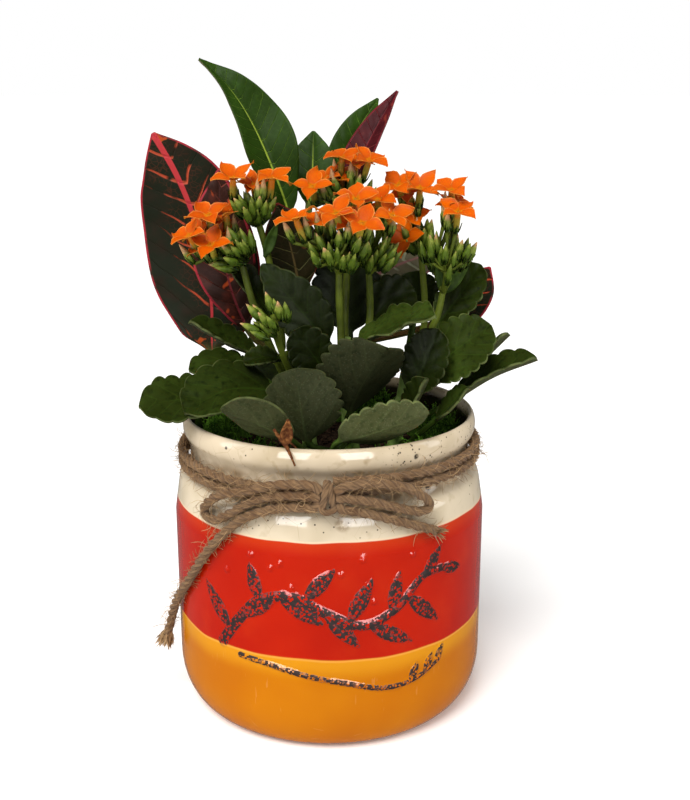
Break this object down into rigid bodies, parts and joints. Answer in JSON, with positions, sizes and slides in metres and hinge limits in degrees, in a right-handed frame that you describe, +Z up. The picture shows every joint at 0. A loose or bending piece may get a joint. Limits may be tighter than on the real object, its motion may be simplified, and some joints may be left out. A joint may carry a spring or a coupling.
{
  "type": "potted plant",
  "caption": "Orange-flowered succulent and a variegated foliage plant growing together in a small glazed jar-shaped pot with a twine bow.",
  "frame": {"origin": "centre of the pot's flat underside", "axes": "+Z up along the pot's axis, -Y towards the front with the twine bow, +X to the right seen from the front"},
  "size_m": [0.1483, 0.1242, 0.2458],
  "materials": {
    "glaze": "gloss",
    "soil": "matte",
    "moss": "matte",
    "dried_twig": "matte",
    "jute_twine": "matte",
    "kalanchoe_stem": "satin",
    "croton_bark": "matte",
    "kalanchoe_leaf": "satin",
    "croton_leaf_green": "satin",
    "croton_leaf_dark": "satin",
    "kalanchoe_flowers": "satin"
  },
  "bodies": {
    "root": {"croton_leaf_far_right": "croton_leaf_dark", "croton_leaf_front_dark": "croton_leaf_dark", "croton_leaf_left_inner": "croton_leaf_dark", "croton_leaf_left_large": "croton_leaf_dark", "croton_leaf_middle": "croton_leaf_green", "croton_leaf_right_back": "croton_leaf_green", "croton_leaf_right_narrow": "croton_leaf_green", "croton_leaf_right_red": "croton_leaf_dark", "croton_leaf_tall": "croton_leaf_green", "croton_stem": "croton_bark", "dried_twig": "dried_twig", "flower_spray_back": "kalanchoe_flowers", "flower_spray_closed": "kalanchoe_flowers", "flower_spray_front": "kalanchoe_flowers", "flower_spray_left_high": "kalanchoe_flowers", "flower_spray_left_low": "kalanchoe_flowers", "flower_spray_middle": "kalanchoe_flowers", "flower_spray_right": "kalanchoe_flowers", "flower_spray_right_back": "kalanchoe_flowers", "kalanchoe_leaf_back_dark": "kalanchoe_leaf", "kalanchoe_leaf_back_high": "kalanchoe_leaf", "kalanchoe_leaf_centre_back": "kalanchoe_leaf", "kalanchoe_leaf_centre_high": "kalanchoe_leaf", "kalanchoe_leaf_centre_low": "kalanchoe_leaf", "kalanchoe_leaf_front_curl": "kalanchoe_leaf", "kalanchoe_leaf_front_left": "kalanchoe_leaf", "kalanchoe_leaf_front_middle": "kalanchoe_leaf", "kalanchoe_leaf_front_right": "kalanchoe_leaf", "kalanchoe_leaf_front_rolled": "kalanchoe_leaf", "kalanchoe_leaf_front_upper": "kalanchoe_leaf", "kalanchoe_leaf_left_back": "kalanchoe_leaf", "kalanchoe_leaf_left_curl": "kalanchoe_leaf", "kalanchoe_leaf_left_front": "kalanchoe_leaf", "kalanchoe_leaf_left_high": "kalanchoe_leaf", "kalanchoe_leaf_left_tip": "kalanchoe_leaf", "kalanchoe_leaf_left_upper": "kalanchoe_leaf", "kalanchoe_leaf_rear_left": "kalanchoe_leaf", "kalanchoe_leaf_rear_middle": "kalanchoe_leaf", "kalanchoe_leaf_rear_right": "kalanchoe_leaf", "kalanchoe_leaf_right_broad": "kalanchoe_leaf", "kalanchoe_leaf_right_edge": "kalanchoe_leaf", "kalanchoe_leaf_right_inner": "kalanchoe_leaf", "kalanchoe_leaf_right_long": "kalanchoe_leaf", "kalanchoe_leaf_right_small": "kalanchoe_leaf", "kalanchoe_leaf_right_upper": "kalanchoe_leaf", "kalanchoe_stem_centre": "kalanchoe_stem", "kalanchoe_stem_left": "kalanchoe_stem", "kalanchoe_stem_right": "kalanchoe_stem", "moss": "moss", "pot": "glaze", "potting_soil": "soil", "twine_knot": "jute_twine", "twine_loop_left": "jute_twine", "twine_loop_right": "jute_twine", "twine_tail_left": "jute_twine", "twine_tail_right": "jute_twine", "twine_wrap": "jute_twine"}
  },
  "joints": []
}
